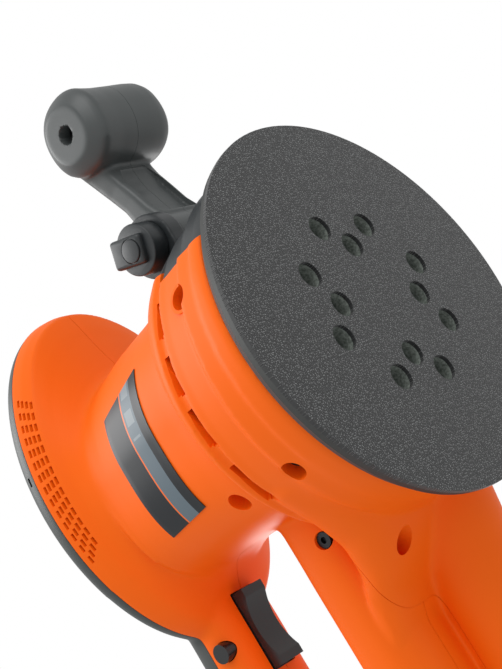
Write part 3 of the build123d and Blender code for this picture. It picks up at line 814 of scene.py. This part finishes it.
def front_space(bm):
    """The room inside that wall for the skirt, the pad plate and the fan."""
    spin(bm, [(0, 5), (66.4, 5), (66.4, 19), (65.4, 27), (62.8, 30), (61.0, 40), (60.8, 43.4), (58.4, 45),
              (58.2, 52), (56, 54.6), (0, 54.6)])
    lean(bm)


def barrel_room(bm):
    loft(bm, [oval(row, -0.15) for row in ease(BARREL, 2.0)])


bracket = soften(fuse(solid("pivot_cheeks", cheeks), 0.5), 3)
wall = carve(solid("front_wall", front_wall), solid("front_space", front_space))
carve(wall, solid("barrel", barrel_room))
carve(wall, solid("eye_room", lambda bm: rod(bm, 11.9, (-12.8, *PIVOT), (12.8, *PIVOT), 64)))
carve(wall, solid("lid", lambda bm: brick(bm, (-90, -90, SHROUD_TOP - 0.2), (90, 90, 70))))
carve(wall, solid("sector", lambda bm: brick(bm, (-90, -90, 0), (90, BRACKET_Y - 0.15, 90))), "INTERSECT")
carve(bracket, solid("bore", lambda bm: rod(bm, 5.05, (-40, *PIVOT), (40, *PIVOT), 48)))
carve(bracket, solid("barrel", barrel_room))
carve(bracket, solid("inside", lambda bm: spin(bm, [(0, 5), (61.8, 5), (61.8, SHROUD_TOP - 0.6),
                                                    (0, SHROUD_TOP - 0.6)])))
carve(wall, solid("brow", lambda bm: brick(bm, (-90, BROW_Y - 0.15, BROW_Z - 0.15), (90, 0, 90))))
carve(bracket, wall, "UNION")
bracket_nylon = moulded("black glass-filled nylon, satin", "#25292B", 0.40, 0.9, 0.05, 0.5)
fit(bracket, bracket_nylon, "tool", ["handle_bracket"])


def knob_form(bm):
    edged(bm, rod(bm, 10, (-28.4, *PIVOT), (-CHEEK_OUT - 0.3, *PIVOT), 72), 0.6)


def lever_form(bm):
    verts = bmesh.ops.create_cube(bm, size=1.0, matrix=Matrix.Diagonal((5.6, 16.2, 11.4, 1)))["verts"]
    bmesh.ops.translate(bm, verts=verts, vec=(0, 2.6, 0))
    edged(bm, verts, 1.5)
    bmesh.ops.rotate(bm, verts=bm.verts, cent=(0, 0, 0), matrix=Matrix.Rotation(math.radians(110), 3, "X"))
    bmesh.ops.translate(bm, verts=bm.verts, vec=(-28.2, *PIVOT))


def plug_form(bm):
    edged(bm, rod(bm, 4.5, (-31.4, *PIVOT), (-27.5, *PIVOT), 48), 0.4)


knob = carve(solid("clamp_knob_lever", knob_form), solid("lever", lever_form), "UNION")
carve(knob, solid("plug_groove", lambda bm: rod(bm, 4.9, (-40, *PIVOT), (-30.6, *PIVOT), 48)))
carve(knob, solid("plug", plug_form), "UNION")
fit(knob, bracket_nylon, "clamp_knob", ["clamp_knob"])

# Dust parts.
# A felted rubber skirt seals the shroud to the pad plate. The hose adapter is a push-fit bush at the
# mouth of the duct, injection moulded in the same nylon as the grip.
rubber = moulded("moulded nitrile rubber", "#202221", 0.58, 1.1, 0.06, 0.35)
adapter_nylon = moulded("black moulded nylon", "#2A2C2D", 0.40, 0.7, 0.05)
finish_node("dust_skirt", rubber)
finish_node("dust_adapter", adapter_nylon)

# Pad drive.
# The nylon pad plate is screwed to a die-cast hub, which turns in a ball bearing set off centre in
# the balanced steel eccentric on the spindle. A nylon fan sits above it in the shroud.


def metal(name, colour, rough, mark_mm, depth_mm, stretch=(1, 1, 1)):
    """Bare metal. Fine tool marks drag out its highlights, and slow stains vary the gloss."""
    material, tree, out = blank(name)
    place = add(tree, "ShaderNodeTexCoord").outputs["Object"]
    grain = add(tree, "ShaderNodeMapping", {"Scale": stretch}, {"Vector": place})
    marks = add(tree, "ShaderNodeTexNoise", {"Scale": 1 / (mark_mm * MM), "Detail": 3.0},
                {"Vector": grain.outputs[0]})
    stain = add(tree, "ShaderNodeTexNoise", {"Scale": 1 / (12 * MM), "Detail": 2.0}, {"Vector": place})
    gloss = add(tree, "ShaderNodeMapRange", {"To Min": rough - 0.06, "To Max": rough + 0.08},
                {"Value": stain.outputs["Fac"]})
    bump = add(tree, "ShaderNodeBump", {"Strength": 0.35, "Distance": depth_mm * MM},
               {"Height": marks.outputs["Fac"]})
    skin = add(tree, "ShaderNodeBsdfPrincipled", {"Base Color": linear(colour), "Metallic": 1.0},
               {"Roughness": gloss.outputs[0], "Normal": bump.outputs[0]})
    tree.links.new(skin.outputs[0], out.inputs["Surface"])
    return material


plate_nylon = moulded("grey glass-filled nylon", "#3A3D3C", 0.48, 0.9, 0.06)
cast_alloy = metal("die-cast aluminium", "#B4B6B8", 0.42, 0.8, 0.05)
ground_steel = metal("ground steel", "#B9BABD", 0.26, 0.5, 0.02, (1, 1, 0.1))
bearing_steel = metal("polished bearing steel", "#CFD0D3", 0.12, 0.4, 0.01)
black_screw = metal("blackened steel screw", "#3B3C3E", 0.38, 0.5, 0.02)
finish_node("pad_plate", plate_nylon)
finish_node("fan", plate_nylon)
finish_node("pad_hub", cast_alloy)
finish_node("eccentric", ground_steel)
finish_node("spindle", ground_steel)
finish_node("pad_screws", ground_steel)
for seat in ("pad", "lower", "upper"):
    for part in ("outer", "inner", "balls"):
        finish_node(f"{seat}_bearing_{part}", bearing_steel)

# Motor.
# A universal motor: stacks of silicon steel sheet with enamelled copper coils, a copper commutator,
# and graphite brushes pushed onto it by springs in brass holders.


def laminated(name, colour):
    """Stacked electrical sheet: the edges of half-millimetre sheets show as level lines round the stack."""
    material, tree, out = blank(name)
    place = add(tree, "ShaderNodeTexCoord").outputs["Object"]
    level = add(tree, "ShaderNodeSeparateXYZ", links={0: place})
    sheet = add(tree, "ShaderNodeMath", {1: 0.5 * MM}, {0: level.outputs["Z"]}, operation="PINGPONG")
    edge = add(tree, "ShaderNodeMapRange", {"From Max": 0.5 * MM}, {"Value": sheet.outputs[0]})
    bump = add(tree, "ShaderNodeBump", {"Strength": 0.5, "Distance": 0.08 * MM}, {"Height": edge.outputs[0]})
    skin = add(tree, "ShaderNodeBsdfPrincipled",
               {"Base Color": linear(colour), "Metallic": 1.0, "Roughness": 0.45},
               {"Normal": bump.outputs[0]})
    tree.links.new(skin.outputs[0], out.inputs["Surface"])
    return material


def winding(name):
    """Enamelled copper wire laid side by side: ridges drawn a millimetre apart, so that they show, with
    painted shade in the grooves between wires.
    """
    material, tree, out = blank(name)
    place = add(tree, "ShaderNodeTexCoord").outputs["Object"]
    wires = add(tree, "ShaderNodeTexWave", {"Scale": 0.159 / MM, "Distortion": 0.6, "Detail": 1.0},
                {"Vector": place}, wave_type="BANDS", bands_direction="Z")
    bump = add(tree, "ShaderNodeBump", {"Strength": 0.8, "Distance": 0.3 * MM},
               {"Height": wires.outputs["Fac"]})
    # The colour follows the ridges: the darker copper in the grooves between wires is painted shade.
    tone = add(tree, "ShaderNodeValToRGB", links={"Fac": wires.outputs["Fac"]})
    tone.color_ramp.elements[0].color = linear("#7A3A1C")
    tone.color_ramp.elements[1].color = linear("#C8703A")
    skin = add(tree, "ShaderNodeBsdfPrincipled", {"Metallic": 0.9, "Roughness": 0.3, "Coat Weight": 0.4},
               {"Base Color": tone.outputs[0], "Normal": bump.outputs[0]})
    tree.links.new(skin.outputs[0], out.inputs["Surface"])
    return material


stack = laminated("silicon steel sheet", "#77797B")
copper_wire = winding("enamelled copper wire")
finish_node("armature_core", stack)
finish_node("stator_core", stack)
finish_node("armature_windings", copper_wire)
finish_node("field_coils", copper_wire)
finish_node("commutator", metal("turned copper", "#C77A4E", 0.28, 0.4, 0.02, (1, 1, 0.15)))
finish_node("brush_holders", metal("drawn brass", "#C9A860", 0.3, 0.5, 0.02))
finish_node("brush_springs", ground_steel)
finish_node("carbon_brushes", moulded("pressed graphite", "#232425", 0.5, 0.4, 0.06, 0.6))
finish_node("bearing_plate", cast_alloy)
finish_node("upper_bearing_seat", plate_nylon)

# Switch and controls.
# A rocker trigger, a lock button and a speed dial in polished black plastic, on a switch block and
# a glass-epoxy control board. The cord enters through a soft rubber bush.
polished_black = moulded("polished black polycarbonate", "#1B1C1D", 0.24, 3.0, 0.02)
for name in ("trigger", "lock_button", "speed_dial", "dial_bracket"):
    finish_node(name, polished_black)
finish_node("switch_body", adapter_nylon)
finish_node("control_board", moulded("green glass-epoxy board", "#1F5A38", 0.35, 0.6, 0.03))
finish_node("cord_inlet", rubber)

# Fixings.
# Blackened steel screws hold the casing halves, the shroud and the two handle halves, and a plain
# steel bolt carries the handle.
finish_node("housing_screws", black_screw)
finish_node("handle_screw", black_screw)
finish_node("pivot_bolt", ground_steel)


def screw_heads(bm):
    """Four domed heads at the bottom of the shroud's screw pockets."""
    for angle, radius, z in POCKETS[:4]:
        turn_z(bm, rod(bm, 3.4, (radius - 8.0, 0, z), (radius - 6.2, 0, z), 32, 2.8), angle)


def screw_sockets(bm):
    for angle, radius, z in POCKETS[:4]:
        turn_z(bm, rod(bm, 1.5, (radius - 7.2, 0, z), (radius - 4, 0, z), 6), angle)


screws = carve(solid("shroud_screws", screw_heads), solid("sockets", screw_sockets))
fit(screws, black_screw, "tool", ["base_screws"])
